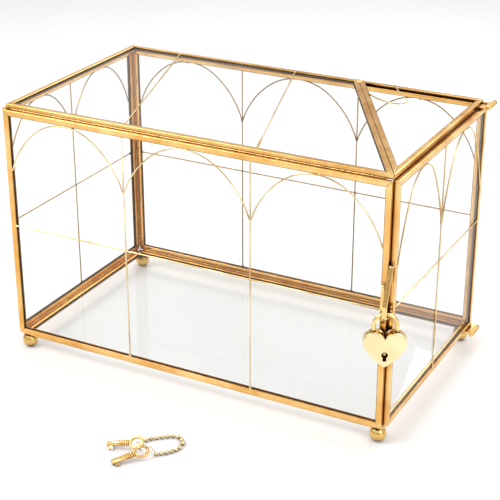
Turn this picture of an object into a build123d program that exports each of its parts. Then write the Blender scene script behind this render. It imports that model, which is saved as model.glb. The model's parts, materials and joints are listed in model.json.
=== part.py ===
from build123d import *
from math import cos, radians, sin, sqrt
import os

# Wedding card box: glass panes in brass cames, a side door on pivot hinges, and a heart padlock.

# Driving dimensions, millimetres. Origin: centre of the box's footprint, on the surface it stands on.
LENGTH = 312.0            # outer size along X
DEPTH = 180.0             # outer size along Y
CASE_HEIGHT = 190.0       # glass case without its feet
CAME = 3.6                # thickness of the U-channel that edges every pane
LIP = 4.2                 # width of the channel's two faces
BACK_WALL = 0.8           # brass behind the edge of the glass
GLASS = 2.0
WIRE = 1.1                # decorative wires soldered on the glass
WIRE_LIFT = 0.02          # a wire lies this far off the glass
SEAM = 1.3                # solder fillet in the groove between two panes
FOOT_BALL = 12.0
FOOT_FLAT = 0.2           # the ball is worn flat by this much where it stands
FOOT_X = 148.0            # centres of the feet
FOOT_Y = 83.5
BASE_Z = 10.0             # underside of the base pane
TOP_Z = BASE_Z + CASE_HEIGHT
DOOR_GAP = 0.45           # clearance around the door pane

# Wire pattern
ARCH_DROP = 46.0          # long sides: arch feet below the pane's top came
ARCH_DROP_LEFT = 44.0
ARCH_DROP_DOOR = 61.0
ARCH_SHOULDER = 0.5       # part of the half width spanned by the crown arc
ARCH_SHOULDER_DROP = 0.19 # part of the rise lost at the end of the crown arc

# Card slot: an open triangle at the top right, cut off by a diagonal double came
SLOT_BACK_X = LENGTH / 6

# Door hinges: a pin on the door's corner turns in a plate soldered to the case
PIVOT_X = LENGTH / 2 - CAME / 2
PIVOT_INSET = 2.0         # pivot axis inside the edge of the door's hinge stile
PIN_RADIUS = 0.9
PIN_HEAD_RADIUS = 1.6
PIN_HEAD_HEIGHT = 0.7
BORE_CLEARANCE = 0.05
PLATE_THICKNESS = 1.2
PLATE_WIDTH = 15.0
PLATE_BACK_Y = 88.0
ROLL_X = 160.4            # the plate's outer edge is rolled round this line
ROLL_RADIUS = 1.6

# Staples for the padlock: flat straps on the two stiles at the front right corner
STRAP_THICKNESS = 1.0
STRAP_BEND = 1.0          # radius of the bends along a strap's middle
DOOR_STRAP_WIDTH = 3.4
DOOR_STRAP_X = LENGTH / 2 - CAME / 2
DOOR_STRAP_Y = -97.2      # the foremost part, in front of the shackle
DOOR_STRAP_BOTTOM = 102.2
DOOR_STRAP_KNEE = 111.0   # above this height the strap leans back to the stile
DOOR_STRAP_TOP = 137.0
DOOR_STRAP_ROOT = 2.6     # length of the strap's level run at its top
CASE_STRAP_WIDTH = 2.4
CASE_STRAP_X = LENGTH / 2 - CAME - LIP / 2
CASE_STRAP_REACH = 2.2
CASE_STRAP_BOTTOM = 98.0
CASE_STRAP_TOP = 123.5

# Padlock
SHACKLE_WIRE = 2.8
SHACKLE_RADIUS = 7.75     # centre line of the bow
SHACKLE_RISE = 13.5       # top of the bow above the top of the body
HEEL_DEPTH = 14.5
TOE_DEPTH = 5.0
BORE_BOTTOM = 0.5         # the leg bores go this much deeper than the legs
LEG_CLEARANCE = 0.08
LOBE_RADIUS = 7.65
LOBE_CENTRE = 7.05
LOBE_END = 30.0           # degrees below level at which a lobe runs into the side
HEART_TIP = -18.1
CORE_THICKNESS = 5.8
PLATE = 1.2
KEYHOLE_Y = -8.5
KEYHOLE_RADIUS = 2.2
KEYHOLE_SLOT = 2.5
KEYHOLE_LENGTH = 4.7
KEY_POST_RADIUS = 0.8
POCKET_DEPTH = 5.0
LOCK_TURN = 25.0          # the padlock's face is turned towards +X by this many degrees
LOCK_Y = -DEPTH / 2 - 4.1
BEARING_GAP = 0.4         # between the strap and the top of the bow, which curves down beside it

# Keys and their bead chain, lying in front of the box
KEY_BARREL_RADIUS = 2.0
KEY_BARREL_LENGTH = 16.2
KEY_HOLLOW_RADIUS = 1.1
KEY_HOLLOW_DEPTH = 9.0
KEY_COLLAR_RADIUS = 2.4
KEY_COLLAR_LENGTH = 1.4
KEY_COLLARS = [0.0, 3.0, 5.0]   # distances from the bow
BOW_LENGTH = 11.4
BOW_WIDTH = 9.6
BOW_THICKNESS = 1.8
BOW_RING = 2.0            # width of the ring round the bow's hole
BOW_OVERLAP = 0.4         # bow and bit run into the barrel by this much
BIT = (2.4, 2.2, 1.2)     # width, reach and thickness
# For each key: the centre of its bow, its heading on the table, and how far it is tipped down and rolled.
KEY_SPOTS = [((7.1, -174.0, 6.95), 194.0, 11.5, 38.0), ((14.5, -179.8, 5.35), 232.0, 8.0, 30.0)]
BEAD = 3.0
BEAD_PITCH = 3.9
LINK_WIRE = 0.7
CLASP_RADIUS = 1.7
CLASP_START = (27.6, -148.2)
CLASP_END = (32.4, -154.4)
CHAIN_FIRST = [(6.5, -161.1), (8.7, -158.0), (14.4, -152.6), (20.9, -147.9), (24.6, -147.2)]
CHAIN_LAST = [(32.4, -158.6), (30.3, -163.8), (26.6, -169.0), (21.9, -172.8)]
# The thread passes up through the first bow, under the second bow's edge, up through it and over its rim.
CHAIN_THREAD = [(6.9, -166.0, 2.6), (7.1, -174.0, 6.9), (9.0, -175.6, 7.2), (11.0, -177.0, 6.2),
                (12.8, -178.3, 5.0), (14.5, -179.8, 6.2), (16.5, -177.4, 8.0), (19.0, -174.9, 7.4)]

# Wire loop in the corner of the card slot
LOOP_START = (73.5, 57.0)
LOOP_TIP = [(96.5, 44.3), (104.6, 48.0), (103.4, 57.0)]
LOOP_END = (82.6, 85.4)


def save(name, shape):
    export_step(shape, f"parts/{name}.step")


def inset(points, distance):
    """Move every side of a convex anticlockwise outline inwards."""
    moved = []
    for index, corner in enumerate(points):
        before = Vector(*points[index - 1])
        here = Vector(*corner)
        after = Vector(*points[(index + 1) % len(points)])
        first = (here - before).normalized()
        second = (after - here).normalized()
        first_normal = Vector(-first.Y, first.X)
        second_normal = Vector(-second.Y, second.X)
        scale = distance / (1 + first_normal.dot(second_normal))
        place = here + (first_normal + second_normal) * scale
        moved.append((place.X, place.Y))
    return moved


def slab(points, low, high):
    """A flat plate with the given outline, from low to high along the local Z axis."""
    return Pos(0, 0, low) * extrude(make_face(Polyline(*points, close=True)), high - low)


def glass_slab(points):
    side = (CAME - GLASS) / 2
    return slab(inset(points, BACK_WALL), side, side + GLASS)


def came_bars(points):
    """One mitred U-channel bar for each side of the outline."""
    inner = inset(points, LIP)
    groove = glass_slab(points)
    bars = []
    for index in range(len(points)):
        following = (index + 1) % len(points)
        outline = [points[index], points[following], inner[following], inner[index]]
        bars.append(slab(outline, 0, CAME) - groove)
    return bars


def framed_pane(place, points, names, glass_name):
    """Write the bars and the glass of one pane; place takes the pane's frame to the box."""
    for name, bar in zip(names, came_bars(points)):
        save(name, place * bar)
    if glass_name:
        save(glass_name, place * glass_slab(points))


def rectangle(left, bottom, right, top):
    return [(left, bottom), (right, bottom), (right, top), (left, top)]


# Each pane's frame has X across the pane, Y up it and Z out of the box.
FRONT = Plane(origin=(0, -DEPTH / 2 + CAME, 0), x_dir=(1, 0, 0), z_dir=(0, -1, 0)).location
BACK = Plane(origin=(0, DEPTH / 2 - CAME, 0), x_dir=(-1, 0, 0), z_dir=(0, 1, 0)).location
LEFT = Plane(origin=(-LENGTH / 2 + CAME, 0, 0), x_dir=(0, -1, 0), z_dir=(-1, 0, 0)).location
RIGHT = Plane(origin=(LENGTH / 2 - CAME, 0, 0), x_dir=(0, 1, 0), z_dir=(1, 0, 0)).location
TOP = Pos(0, 0, TOP_Z - CAME)
BASE = Pos(0, 0, BASE_Z)

HALF_LENGTH = LENGTH / 2 - CAME
HALF_DEPTH = DEPTH / 2 - CAME
LOW = BASE_Z + CAME
HIGH = TOP_Z - CAME
DOOR_HALF = HALF_DEPTH - DOOR_GAP
DOOR_LOW = LOW + DOOR_GAP
DOOR_HIGH = HIGH - DOOR_GAP


def panes():
    walls = (("front", FRONT, HALF_LENGTH), ("back", BACK, HALF_LENGTH), ("left", LEFT, HALF_DEPTH))
    for side, place, half in walls:
        names = [f"came_{side}_{edge}" for edge in ("bottom", "right", "top", "left")]
        framed_pane(place, rectangle(-half, LOW, half, HIGH), names, f"glass_{side}")
    base_names = [f"came_base_{edge}" for edge in ("front", "right", "back", "left")]
    framed_pane(BASE, rectangle(-HALF_LENGTH, -HALF_DEPTH, HALF_LENGTH, HALF_DEPTH), base_names, "glass_base")
    door_names = [f"came_door_{edge}" for edge in ("bottom", "hinge_stile", "top", "lock_stile")]
    framed_pane(RIGHT, rectangle(-DOOR_HALF, DOOR_LOW, DOOR_HALF, DOOR_HIGH), door_names, "glass_door")


def top_panes():
    """The top is a glazed trapezoid and an open triangle that meet along the diagonal."""
    back_left = (-HALF_LENGTH, HALF_DEPTH)
    front_left = (-HALF_LENGTH, -HALF_DEPTH)
    front_right = (HALF_LENGTH, -HALF_DEPTH)
    back_right = (HALF_LENGTH, HALF_DEPTH)
    slot_back = (SLOT_BACK_X, HALF_DEPTH)
    trapezoid = [front_left, front_right, slot_back, back_left]
    top_names = [f"came_top_{edge}" for edge in ("front", "diagonal", "back", "left")]
    framed_pane(TOP, trapezoid, top_names, "glass_top")
    triangle = [front_right, back_right, slot_back]
    framed_pane(TOP, triangle, [f"came_slot_{edge}" for edge in ("right", "back", "diagonal")], None)


def solder_seams():
    """Solder fillets along the grooves where two panes of the case meet."""
    legs = make_face(Polyline((0, 0), (SEAM, 0), (0, SEAM), close=True))

    def seam(corner, run, first_leg, length):
        return Plane(origin=corner, x_dir=first_leg, z_dir=run).location * extrude(legs, length)

    along, inward, upward = (1, 0, 0), (0, 1, 0), (0, 0, 1)
    seams = []
    for level, up in ((HIGH, 1), (LOW, -1)):
        for side in (-1, 1):
            first_leg = (0, side, 0) if side == up else (0, 0, up)
            corner = (-(HALF_LENGTH - SEAM), side * HALF_DEPTH, level)
            seams.append(seam(corner, along, first_leg, 2 * (HALF_LENGTH - SEAM)))
        first_leg = (-1, 0, 0) if up > 0 else (0, 0, -1)
        corner = (-HALF_LENGTH, -(HALF_DEPTH - SEAM), level)
        seams.append(seam(corner, inward, first_leg, 2 * (HALF_DEPTH - SEAM)))
    for side in (-1, 1):
        first_leg = (0, 1, 0) if side > 0 else (-1, 0, 0)
        corner = (-HALF_LENGTH, side * HALF_DEPTH, LOW + SEAM)
        seams.append(seam(corner, upward, first_leg, HIGH - LOW - 2 * SEAM))
    save("solder_seams", Compound(children=seams))


def wire_along(path, diameter):
    """Sweep a round wire along a path of lines and tangent arcs."""
    section = Plane(origin=path @ 0, z_dir=path % 0) * Circle(diameter / 2)
    return sweep(section, path=path)


def straight_wire(start, end, diameter=WIRE):
    return wire_along(Line(start, end), diameter)


def arch(centre, half_width, top, rise):
    """A pointed-foot arch: a crown arc with a flatter tangent arc down to each foot."""
    shoulder_x = ARCH_SHOULDER * half_width
    shoulder_y = top - ARCH_SHOULDER_DROP * rise
    crown = ThreePointArc((centre - shoulder_x, shoulder_y), (centre, top), (centre + shoulder_x, shoulder_y))
    right = TangentArc((centre + shoulder_x, shoulder_y), (centre + half_width, top - rise), tangent=crown % 1)
    backwards = (crown % 0) * -1
    left = TangentArc((centre - shoulder_x, shoulder_y), (centre - half_width, top - rise), tangent=backwards)
    return wire_along(Wire([left, crown, right]), WIRE)


def face_wires(name, place, left, right, bottom, top, bays, arch_drop):
    """Vertical wires between the bays, a wire at half height, and one arch in each bay."""
    inner_left, inner_right = left + LIP, right - LIP
    inner_bottom, inner_top = bottom + LIP, top - LIP
    bay = (right - left) / bays
    middle = (bottom + top) / 2
    runs = [straight_wire((inner_left, middle), (inner_right, middle))]
    for index in range(1, bays):
        x = left + index * bay
        runs.append(straight_wire((x, inner_bottom), (x, inner_top)))
    for index in range(bays):
        arch_left = max(left + index * bay, inner_left) + WIRE / 2
        arch_right = min(left + (index + 1) * bay, inner_right) - WIRE / 2
        centre = (arch_left + arch_right) / 2
        crown = inner_top - WIRE / 2
        runs.append(arch(centre, (arch_right - arch_left) / 2, crown, arch_drop - LIP))
    lattice = runs[0].fuse(*runs[1:])
    lift = (CAME + GLASS) / 2 + WIRE / 2 + WIRE_LIFT
    save(name, place * Pos(0, 0, lift) * lattice)


def wires():
    for side, place in (("front", FRONT), ("back", BACK)):
        face_wires(f"wires_{side}", place, -HALF_LENGTH, HALF_LENGTH, LOW, HIGH, 3, ARCH_DROP)
    face_wires("wires_left", LEFT, -HALF_DEPTH, HALF_DEPTH, LOW, HIGH, 2, ARCH_DROP_LEFT)
    face_wires("wires_door", RIGHT, -DOOR_HALF, DOOR_HALF, DOOR_LOW, DOOR_HIGH, 2, ARCH_DROP_DOOR)
    reach = HALF_DEPTH - LIP
    lift = (CAME + GLASS) / 2 + WIRE / 2 + WIRE_LIFT
    top_runs = []
    for front_x, back_x in ((-LENGTH / 6, -LENGTH / 3), (LENGTH / 6, 0)):
        top_runs.append(straight_wire((front_x, -reach), (back_x, reach)))
    save("wires_top", TOP * Pos(0, 0, lift) * Compound(children=top_runs))


def feet():
    """Four brass balls soldered under the base came."""
    radius = FOOT_BALL / 2
    ball = Pos(0, 0, radius - FOOT_FLAT) * Sphere(radius)
    foot = ball & Pos(0, 0, BASE_Z / 2) * Box(FOOT_BALL, FOOT_BALL, BASE_Z)
    spots = [(x, y) for x in (-FOOT_X, FOOT_X) for y in (-FOOT_Y, FOOT_Y)]
    save("ball_feet", Compound(children=[Pos(x, y, 0) * foot for x, y in spots]))


BOTTOM = (Align.CENTER, Align.CENTER, Align.MIN)


def hinge(name, flip):
    """A plate on the case, just beyond the door's edge, and the headed pin on the door that turns in it."""
    def place(shape):
        if flip:
            return Pos(0, 0, LOW) * mirror(shape, about=Plane.XY)
        return Pos(0, 0, HIGH) * shape

    pivot = Pos(PIVOT_X, DOOR_HALF - PIVOT_INSET, 0)
    middle_y = PLATE_BACK_Y - PLATE_WIDTH / 2
    reach = ROLL_X - HALF_LENGTH
    flat = Box(reach, PLATE_WIDTH, PLATE_THICKNESS)
    plate = Pos(HALF_LENGTH + reach / 2, middle_y, PLATE_THICKNESS / 2) * flat
    roll = Pos(ROLL_X, middle_y, ROLL_RADIUS) * Rot(90, 0, 0) * Cylinder(ROLL_RADIUS, PLATE_WIDTH)
    hole = pivot * Cylinder(PIN_RADIUS + BORE_CLEARANCE, 4 * PLATE_THICKNESS)
    save(f"hinge_plate_{name}", place(plate + roll - hole))
    head_z = PLATE_THICKNESS + BORE_CLEARANCE
    shank = Pos(0, 0, -DOOR_GAP) * Cylinder(PIN_RADIUS, DOOR_GAP + head_z, align=BOTTOM)
    head = Pos(0, 0, head_z) * Cylinder(PIN_HEAD_RADIUS, PIN_HEAD_HEIGHT, align=BOTTOM)
    save(f"hinge_pin_{name}", place(pivot * (shank + head)))


def strap(x, profile, width):
    """A flat strap that follows a profile of (y, z) points and stands off a stile."""
    side_view = Plane(origin=(x, 0, 0), x_dir=(0, 1, 0), z_dir=(1, 0, 0)).location
    path = FilletPolyline(*profile, radius=STRAP_BEND)
    section = Plane(origin=path @ 0, x_dir=(0, 0, 1), z_dir=path % 0) * Rectangle(width, STRAP_THICKNESS)
    return side_view * sweep(section, path=path)


def staples():
    door_profile = [(-DOOR_HALF, DOOR_STRAP_TOP), (-DOOR_HALF - DOOR_STRAP_ROOT, DOOR_STRAP_TOP),
                    (DOOR_STRAP_Y, DOOR_STRAP_KNEE), (DOOR_STRAP_Y, DOOR_STRAP_BOTTOM),
                    (-DOOR_HALF, DOOR_STRAP_BOTTOM)]
    save("door_staple", strap(DOOR_STRAP_X, door_profile, DOOR_STRAP_WIDTH))
    face, out = -DEPTH / 2, -DEPTH / 2 - CASE_STRAP_REACH
    case_profile = [(face, CASE_STRAP_TOP), (out, CASE_STRAP_TOP), (out, CASE_STRAP_BOTTOM),
                    (face, CASE_STRAP_BOTTOM)]
    save("case_staple", strap(CASE_STRAP_X, case_profile, CASE_STRAP_WIDTH))


def heart(thickness):
    """A heart plate, centred on its lobes' level, with its thickness centred on the local XY plane."""
    lean = radians(LOBE_END)
    side_x = LOBE_CENTRE + LOBE_RADIUS * cos(lean)
    side_y = -LOBE_RADIUS * sin(lean)
    notch_y = sqrt(LOBE_RADIUS ** 2 - LOBE_CENTRE ** 2)
    crown = (LOBE_CENTRE + LOBE_RADIUS * sin(lean), LOBE_RADIUS * cos(lean))
    right_lobe = ThreePointArc((0, notch_y), crown, (side_x, side_y))
    right_side = TangentArc((side_x, side_y), (0, HEART_TIP), tangent=right_lobe % 1)
    half = right_lobe + right_side
    face = make_face(half + mirror(half, about=Plane.YZ))
    return extrude(face, thickness / 2, both=True)


# The padlock's frame: X across its face, Y up, Z out of its face; its origin is the top of the bow's centre line.
LOCK_TOP_Z = DOOR_STRAP_BOTTOM + STRAP_THICKNESS / 2 + BEARING_GAP + SHACKLE_WIRE / 2
TURN = radians(LOCK_TURN)
LOCK = Plane(origin=(DOOR_STRAP_X, LOCK_Y, LOCK_TOP_Z), x_dir=(cos(TURN), sin(TURN), 0),
             z_dir=(sin(TURN), -cos(TURN), 0)).location
BODY_Y = -(SHACKLE_RISE - SHACKLE_WIRE / 2) - LOBE_RADIUS


def keyhole(depth, face_z):
    """The keyhole's space, from face_z inwards."""
    round_part = Pos(0, KEYHOLE_Y, face_z - depth / 2) * Cylinder(KEYHOLE_RADIUS, depth)
    slot = Pos(0, KEYHOLE_Y - KEYHOLE_LENGTH / 2, face_z - depth / 2) * Box(KEYHOLE_SLOT, KEYHOLE_LENGTH, depth)
    return round_part + slot


def padlock():
    front_z = CORE_THICKNESS / 2
    core = heart(CORE_THICKNESS)
    bore_radius = SHACKLE_WIRE / 2 + LEG_CLEARANCE
    for side, depth in ((-1, HEEL_DEPTH), (1, TOE_DEPTH)):
        bottom_y = LOBE_RADIUS - depth - BORE_BOTTOM
        drill = Rot(-90, 0, 0) * Cylinder(bore_radius, 2 * HEEL_DEPTH, align=BOTTOM)
        bore = Pos(side * SHACKLE_RADIUS, bottom_y, 0) * drill
        core -= bore
    core -= keyhole(POCKET_DEPTH, front_z)
    post = Pos(0, KEYHOLE_Y, front_z - POCKET_DEPTH) * Cylinder(KEY_POST_RADIUS, POCKET_DEPTH, align=BOTTOM)
    front = Pos(0, 0, front_z + PLATE / 2) * heart(PLATE) - keyhole(4 * PLATE, front_z + 2 * PLATE)
    back = Pos(0, 0, -front_z - PLATE / 2) * heart(PLATE)
    body = LOCK * Pos(0, BODY_Y, 0)
    save("padlock_core", body * core)
    save("padlock_key_post", body * post)
    save("padlock_front", body * front)
    save("padlock_back", body * back)
    heel_y = BODY_Y + LOBE_RADIUS - HEEL_DEPTH
    toe_y = BODY_Y + LOBE_RADIUS - TOE_DEPTH
    bow = ThreePointArc((-SHACKLE_RADIUS, -SHACKLE_RADIUS), (0, 0), (SHACKLE_RADIUS, -SHACKLE_RADIUS))
    heel = Line((-SHACKLE_RADIUS, heel_y), bow @ 0)
    toe = Line(bow @ 1, (SHACKLE_RADIUS, toe_y))
    save("padlock_shackle", LOCK * wire_along(Wire([heel, bow, toe]), SHACKLE_WIRE))


def key_place(spot):
    """Where a key's frame lies: on its heading, tipped down towards its tip and rolled about its barrel."""
    centre, heading, tip_down, roll = spot
    return Pos(*centre) * Rot(0, 0, heading) * Rot(0, tip_down, 0) * Rot(-roll, 0, 0)


def key():
    """A barrel key along the X axis, with the centre of its oval bow at the origin."""
    along = Rot(0, 90, 0)
    start_x = BOW_LENGTH / 2 - BOW_OVERLAP
    tip_x = start_x + KEY_BARREL_LENGTH
    made = Pos(start_x, 0, 0) * along * Cylinder(KEY_BARREL_RADIUS, KEY_BARREL_LENGTH, align=BOTTOM)
    for distance in KEY_COLLARS:
        collar = Cylinder(KEY_COLLAR_RADIUS, KEY_COLLAR_LENGTH, align=BOTTOM)
        made += Pos(start_x + distance, 0, 0) * along * collar
    bit_width, bit_reach, bit_thickness = BIT
    bit_centre = (tip_x - bit_width, KEY_BARREL_RADIUS + bit_reach / 2 - BOW_OVERLAP, 0)
    made += Pos(*bit_centre) * Box(bit_width, bit_reach + BOW_OVERLAP, bit_thickness)
    bow = extrude(Ellipse(BOW_LENGTH / 2, BOW_WIDTH / 2), BOW_THICKNESS / 2, both=True)
    bow -= extrude(Ellipse(BOW_LENGTH / 2 - BOW_RING, BOW_WIDTH / 2 - BOW_RING), BOW_THICKNESS, both=True)
    hollow = Pos(tip_x - KEY_HOLLOW_DEPTH, 0, 0) * along \
        * Cylinder(KEY_HOLLOW_RADIUS, 2 * KEY_HOLLOW_DEPTH, align=BOTTOM)
    return made + bow - hollow


def keys():
    for number, spot in enumerate(KEY_SPOTS, start=1):
        save(f"key_{number}", key_place(spot) * key())


def facing(start, end):
    """A place at the start, with its Z axis towards the end."""
    return Plane(origin=start, z_dir=Vector(*end) - Vector(*start)).location


def rod(start, end, radius):
    length = (Vector(*end) - Vector(*start)).length
    return facing(start, end) * Cylinder(radius, length, align=BOTTOM)


def spaced(points):
    """Bead places along a smooth curve on the table, about one pitch apart."""
    curve = Spline([(x, y, BEAD / 2) for x, y in points])
    count = round(curve.length / BEAD_PITCH)
    return [tuple(curve @ (index / count)) for index in range(count + 1)]


def bead_chain():
    """Two runs of beads from the clasp, and the thread that joins them through both bows."""
    first_beads = spaced(CHAIN_FIRST)
    last_beads = spaced(CHAIN_LAST)
    clasp_start = (*CLASP_START, CLASP_RADIUS)
    clasp_end = (*CLASP_END, CLASP_RADIUS)
    clasp = rod(clasp_start, clasp_end, CLASP_RADIUS)
    save("chain_clasp", clasp)
    thread = [clasp_start] + first_beads[::-1] + CHAIN_THREAD + last_beads[::-1] + [clasp_end]
    chain = rod(thread[0], thread[1], LINK_WIRE / 2)
    for start, end in zip(thread[1:], thread[2:]):
        radius = BEAD / 2 if start in first_beads + last_beads else LINK_WIRE / 2
        chain = chain.fuse(facing(start, end) * Sphere(radius))
        chain = chain.fuse(rod(start, end, LINK_WIRE / 2))
    save("bead_chain", chain - clasp)


def slot_loop():
    """A petal of wire that lies on the diagonal and the back came, in the corner of the card slot."""
    tip = ThreePointArc(*LOOP_TIP)
    first = TangentArc(LOOP_TIP[0], LOOP_START, tangent=(tip % 0) * -1)
    last = TangentArc(LOOP_TIP[2], LOOP_END, tangent=tip % 1)
    runs = [wire_along(run, WIRE) for run in (tip, first, last)]
    loop = runs[0].fuse(*runs[1:])
    save("slot_loop", Pos(0, 0, TOP_Z + WIRE / 2 + WIRE_LIFT) * loop)


def main():
    os.makedirs("parts", exist_ok=True)
    panes()
    top_panes()
    solder_seams()
    wires()
    feet()
    hinge("top", flip=False)
    hinge("bottom", flip=True)
    staples()
    padlock()
    keys()
    bead_chain()
    slot_loop()


main()
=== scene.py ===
"""Looks of the glass wedding card box: brass cames, clear panes, solder, padlock, keys and bead chain."""
import json
import random
from math import atan2, cos, pi, radians, sin, sqrt

import bmesh
import bpy
from mathutils import Matrix, Vector, noise


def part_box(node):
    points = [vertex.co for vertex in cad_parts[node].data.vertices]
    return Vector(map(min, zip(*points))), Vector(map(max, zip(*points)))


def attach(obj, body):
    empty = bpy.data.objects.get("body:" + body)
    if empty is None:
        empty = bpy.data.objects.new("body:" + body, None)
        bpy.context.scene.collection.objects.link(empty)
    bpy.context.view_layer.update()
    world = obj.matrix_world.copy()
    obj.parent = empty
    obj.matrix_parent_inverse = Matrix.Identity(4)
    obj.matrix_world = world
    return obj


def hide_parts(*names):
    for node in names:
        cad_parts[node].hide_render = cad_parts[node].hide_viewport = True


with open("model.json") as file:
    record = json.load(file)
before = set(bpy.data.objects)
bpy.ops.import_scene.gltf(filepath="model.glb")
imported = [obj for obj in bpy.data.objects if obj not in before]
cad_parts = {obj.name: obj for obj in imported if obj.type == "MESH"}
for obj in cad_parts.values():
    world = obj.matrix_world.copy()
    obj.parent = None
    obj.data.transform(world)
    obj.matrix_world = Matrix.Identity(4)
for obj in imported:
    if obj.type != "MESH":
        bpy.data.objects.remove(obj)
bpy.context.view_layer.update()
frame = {"nodes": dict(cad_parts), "record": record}

MM = 0.001
NODES = frame["nodes"]
LENGTH = 312 * MM               # of the case's frame, left to right
TOP_WIRES = ((-LENGTH / 6, -LENGTH / 3), (LENGTH / 6, 0.0))     # x of each top wire's front and back ends
CAME_ROUNDING = 0.8 * MM
FITTING_ROUNDING = 0.25 * MM

# Camera: place, azimuth and elevation in degrees, with no shift
CAMERA_PLACE = Vector((0.4479, -0.8439, 0.5178))
CAMERA_AZIMUTH = 27.774
CAMERA_ELEVATION = 24.610
CAMERA_LENS = 98.45
SENSOR = 36.0


# ---------------------------------------------------------------- shader helpers

def new_material(name):
    material = bpy.data.materials.new(name)
    material.use_nodes = True
    tree = material.node_tree
    tree.nodes.clear()
    output = tree.nodes.new("ShaderNodeOutputMaterial")
    return material, tree, output


def object_coordinates(tree, scale):
    """Object coordinates, stretched by scale along each axis."""
    coordinates = tree.nodes.new("ShaderNodeTexCoord")
    mapping = tree.nodes.new("ShaderNodeMapping")
    mapping.inputs["Scale"].default_value = scale
    tree.links.new(coordinates.outputs["Object"], mapping.inputs["Vector"])
    return mapping.outputs["Vector"]


def noise_value(tree, vector, scale, detail=3.0, roughness=0.55):
    texture = tree.nodes.new("ShaderNodeTexNoise")
    texture.inputs["Scale"].default_value = scale
    texture.inputs["Detail"].default_value = detail
    texture.inputs["Roughness"].default_value = roughness
    tree.links.new(vector, texture.inputs["Vector"])
    return texture.outputs["Fac"]


def ramp(tree, value, stops):
    """A colour ramp through (position, colour) stops."""
    node = tree.nodes.new("ShaderNodeValToRGB")
    elements = node.color_ramp.elements
    while len(elements) < len(stops):
        elements.new(0.5)
    for element, (position, colour) in zip(elements, stops):
        element.position = position
        element.color = (*colour, 1.0)
    tree.links.new(value, node.inputs["Fac"])
    return node.outputs["Color"]


def value_range(tree, value, low, high, from_low=0.3, from_high=0.7):
    node = tree.nodes.new("ShaderNodeMapRange")
    node.inputs["From Min"].default_value = from_low
    node.inputs["From Max"].default_value = from_high
    node.inputs["To Min"].default_value = low
    node.inputs["To Max"].default_value = high
    tree.links.new(value, node.inputs["Value"])
    return node.outputs["Result"]


def bump(tree, height, strength, distance):
    node = tree.nodes.new("ShaderNodeBump")
    node.inputs["Strength"].default_value = strength
    node.inputs["Distance"].default_value = distance
    tree.links.new(height, node.inputs["Height"])
    return node.outputs["Normal"]


GROOVE_REACH = 4.5 * MM                 # how far away another surface still darkens this one
GROOVE_SHADE_BROWN = (0.16, 0.055, 0.008)     # painted shade for grooves and corners
DENT_DEPTH = 0.4 * MM


def shade_in_grooves(tree, colour, groove_shade_colour):
    """Darken a colour where the surface is tucked into a groove or corner: painted shade."""
    hollow = tree.nodes.new("ShaderNodeAmbientOcclusion")
    hollow.samples = 6
    hollow.inputs["Distance"].default_value = GROOVE_REACH
    share = value_range(tree, hollow.outputs["AO"], 0.0, 1.0, 0.38, 0.86)
    mix = tree.nodes.new("ShaderNodeMix")
    mix.data_type = "RGBA"
    tree.links.new(share, mix.inputs["Factor"])
    mix.inputs["A"].default_value = (*groove_shade_colour, 1.0)
    tree.links.new(colour, mix.inputs["B"])
    return mix.outputs["Result"]


def gilt(name, deep, bright, rough_low, rough_high, patch=60.0, grain=(1, 1, 1), grain_scale=900.0,
         dents=0.15, groove=GROOVE_SHADE_BROWN):
    """Polished brass: tone varies in soft patches, and fine polishing marks and dents break up the gloss;
    grooves and corners get painted shade.
    """
    material, tree, output = new_material(name)
    shader = tree.nodes.new("ShaderNodeBsdfPrincipled")
    shader.inputs["Metallic"].default_value = 1.0
    even = object_coordinates(tree, (1, 1, 1))
    stretched = object_coordinates(tree, grain)
    patches = noise_value(tree, even, patch)
    tone = ramp(tree, patches, [(0.32, deep), (0.68, bright)])
    # painted shade: the tone turns towards the groove colour in grooves and corners
    tree.links.new(shade_in_grooves(tree, tone, groove), shader.inputs["Base Color"])
    marks = noise_value(tree, stretched, grain_scale, 4.0, 0.6)
    tree.links.new(value_range(tree, marks, rough_low, rough_high), shader.inputs["Roughness"])
    ripple = noise_value(tree, even, patch * 4, 2.0)
    tree.links.new(bump(tree, ripple, dents, DENT_DEPTH), shader.inputs["Normal"])
    tree.links.new(shader.outputs["BSDF"], output.inputs["Surface"])
    return material


def clear_glass(name):
    """Sheet glass: what is behind it shows through, and its slightly wavy outer side mirrors the room."""
    material, tree, output = new_material(name)
    even = object_coordinates(tree, (1, 1, 1))
    waves = noise_value(tree, even, 9.0, 1.0)
    normal = bump(tree, waves, 0.05, 0.002)
    clear = tree.nodes.new("ShaderNodeBsdfTransparent")
    film = noise_value(tree, even, 14.0, 4.0)
    tint = ramp(tree, film, [(0.3, (0.998, 0.999, 0.998)), (0.75, (0.988, 0.992, 0.990))])
    tree.links.new(tint, clear.inputs["Color"])
    gloss = tree.nodes.new("ShaderNodeBsdfGlossy")
    tree.links.new(value_range(tree, film, 0.0, 0.05), gloss.inputs["Roughness"])
    tree.links.new(normal, gloss.inputs["Normal"])
    fresnel = tree.nodes.new("ShaderNodeFresnel")
    fresnel.inputs["IOR"].default_value = 1.45
    side = tree.nodes.new("ShaderNodeNewGeometry")
    outer_only = tree.nodes.new("ShaderNodeMath")
    outer_only.operation = "SUBTRACT"
    outer_only.use_clamp = True
    tree.links.new(fresnel.outputs["Fac"], outer_only.inputs[0])
    tree.links.new(side.outputs["Backfacing"], outer_only.inputs[1])
    mix = tree.nodes.new("ShaderNodeMixShader")
    tree.links.new(outer_only.outputs["Value"], mix.inputs["Fac"])
    tree.links.new(clear.outputs["BSDF"], mix.inputs[1])
    tree.links.new(gloss.outputs["BSDF"], mix.inputs[2])
    tree.links.new(mix.outputs["Shader"], output.inputs["Surface"])
    return material


# ---------------------------------------------------------------- materials

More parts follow.
